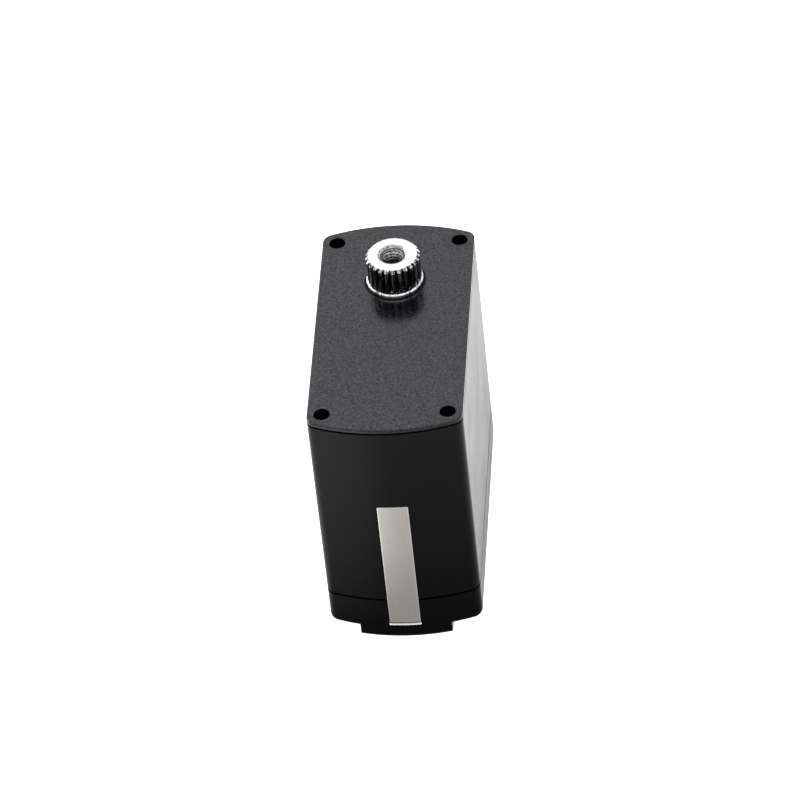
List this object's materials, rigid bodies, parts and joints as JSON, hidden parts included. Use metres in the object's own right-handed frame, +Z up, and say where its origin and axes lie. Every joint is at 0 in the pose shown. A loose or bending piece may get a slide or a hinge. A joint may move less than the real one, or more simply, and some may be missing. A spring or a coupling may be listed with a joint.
{
  "type": "servo motor",
  "caption": "Ear-less metal-cased servo with a splined output shaft on top, a light strip on one end and a full spur gear train, motor and encoder inside.",
  "frame": {"origin": "middle of the underside of the case, on the surface it stands on", "axes": "+Z up along the output shaft, +Y along the case towards the output shaft end, +X across the case; the light strip is on the -Y end"},
  "size_m": [0.02, 0.04, 0.0414],
  "materials": {
    "cover_grey": "sandblasted dark grey anodised",
    "case_black": "satin black anodised",
    "strip_metal": "light brushed bare metal",
    "gasket_rubber": "matte",
    "screw_black": "blackened",
    "spline_steel": "bright plated",
    "bearing_steel": "ground",
    "pin_steel": "ground",
    "gear_brass": "brass-coloured metal",
    "gear_steel": "machined",
    "can_steel": "plated",
    "magnet_dark": "coated magnet",
    "plastic_black": "moulded",
    "bushing_bronze": "sintered bronze",
    "carbon": "carbon",
    "contact_gold": "plated contact",
    "copper": "enamelled wire",
    "board_green": "solder mask",
    "chip_black": "moulded",
    "cap_blue": "sleeved",
    "socket_ivory": "moulded"
  },
  "bodies": {
    "case": {"top_cover": "cover_grey", "top_gasket": "gasket_rubber", "middle_case": "case_black", "bottom_gasket": "gasket_rubber", "bottom_cover": "case_black", "end_strip": "strip_metal", "case_screws": "screw_black", "gear_pin_centre": "pin_steel", "gear_pin_motor": "pin_steel", "shaft_seal": "gasket_rubber", "upper_bearing_outer": "bearing_steel", "lower_bearing_outer": "bearing_steel", "motor_can": "can_steel", "motor_magnets": "magnet_dark", "motor_end_cap": "plastic_black", "motor_bushings": "bushing_bronze", "motor_brushes": "carbon", "motor_terminals": "contact_gold", "motor_screws": "screw_black", "main_board": "board_green", "board_chips": "chip_black", "capacitor": "cap_blue", "connector_socket": "socket_ivory", "connector_pins": "contact_gold", "encoder_board": "board_green", "encoder_sensor": "chip_black", "encoder_posts": "pin_steel"},
    "output": {"output_shaft": "spline_steel", "output_gear": "gear_brass", "upper_bearing_inner": "bearing_steel", "lower_bearing_inner": "bearing_steel", "magnet_holder": "can_steel", "encoder_magnet": "magnet_dark"},
    "upper_balls": {"upper_bearing_balls": "bearing_steel"},
    "lower_balls": {"lower_bearing_balls": "bearing_steel"},
    "first_gear": {"first_gear_wheel": "gear_brass", "first_gear_pinion": "gear_steel"},
    "second_gear": {"second_gear_wheel": "gear_brass", "second_gear_pinion": "gear_steel"},
    "third_gear": {"third_gear_wheel": "gear_brass", "third_gear_pinion": "gear_steel"},
    "rotor": {"motor_shaft": "pin_steel", "motor_core": "can_steel", "motor_windings": "copper", "commutator": "copper", "motor_pinion": "gear_brass"}
  },
  "joints": [
    {"name": "motor_spin", "type": "hinge", "parent": "case", "child": "rotor", "pos_m": [0, -0.0101, 0.015], "axis": [0, 0, 1], "range_deg": [-3720, 3720]},
    {"name": "first_gear_spin", "type": "hinge", "parent": "case", "child": "first_gear", "pos_m": [0.00137, -0.00181, 0.025], "axis": [0, 0, 1], "range_deg": [-1162.5, 1162.5]},
    {"name": "second_gear_spin", "type": "hinge", "parent": "case", "child": "second_gear", "pos_m": [-0.0018, -0.00959, 0.027], "axis": [0, 0, 1], "range_deg": [-465, 465]},
    {"name": "third_gear_spin", "type": "hinge", "parent": "case", "child": "third_gear", "pos_m": [0.00137, -0.00181, 0.029], "axis": [0, 0, 1], "range_deg": [-232.5, 232.5]},
    {"name": "output_spin", "type": "hinge", "parent": "case", "child": "output", "pos_m": [0, 0.00885, 0.0369], "axis": [0, 0, 1], "range_deg": [-90, 90]},
    {"name": "upper_balls_spin", "type": "hinge", "parent": "case", "child": "upper_balls", "pos_m": [0, 0.00885, 0.03485], "axis": [0, 0, 1], "range_deg": [-38.25, 38.25]},
    {"name": "lower_balls_spin", "type": "hinge", "parent": "case", "child": "lower_balls", "pos_m": [0, 0.00885, 0.0224], "axis": [0, 0, 1], "range_deg": [-38.77, 38.77]}
  ],
  "couplings": [
    {"joint": "first_gear_spin", "follows": "motor_spin", "ratio": -0.3125},
    {"joint": "second_gear_spin", "follows": "motor_spin", "ratio": 0.125},
    {"joint": "third_gear_spin", "follows": "motor_spin", "ratio": -0.0625},
    {"joint": "output_spin", "follows": "motor_spin", "ratio": 0.024194},
    {"joint": "upper_balls_spin", "follows": "motor_spin", "ratio": 0.010282},
    {"joint": "lower_balls_spin", "follows": "motor_spin", "ratio": 0.010422}
  ]
}
